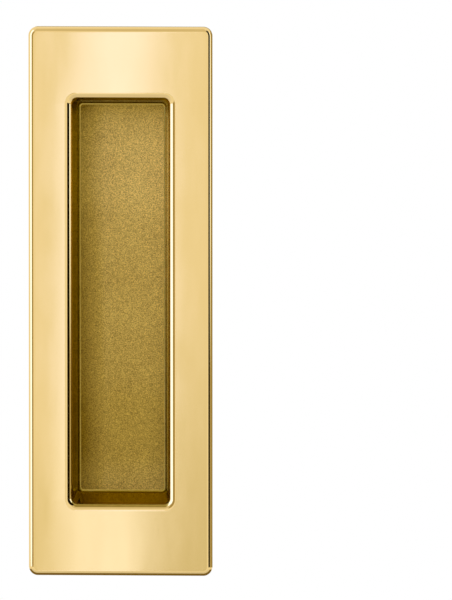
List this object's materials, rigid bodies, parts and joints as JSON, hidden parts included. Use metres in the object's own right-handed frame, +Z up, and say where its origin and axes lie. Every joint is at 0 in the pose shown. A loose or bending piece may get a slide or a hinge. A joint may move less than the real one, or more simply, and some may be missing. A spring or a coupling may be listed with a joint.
{
  "type": "pocket door pull",
  "caption": "Rectangular flush pull for a pocket door, cast as one piece: a flat polished plate with a rounded rim around a drafted, grained finger pocket.",
  "frame": {"origin": "centre of the plate's back, on the plane of the door's face", "axes": "+Z up along the plate's length, +Y into the door, so that the polished face looks along -Y, +X to the right as seen from the room"},
  "size_m": [0.04, 0.0115, 0.12],
  "materials": {
    "brass": "mirror-polished plate and rim, fine-grained satin pocket, plain satin back"
  },
  "bodies": {
    "root": {"flush_pull": "brass"}
  },
  "joints": []
}
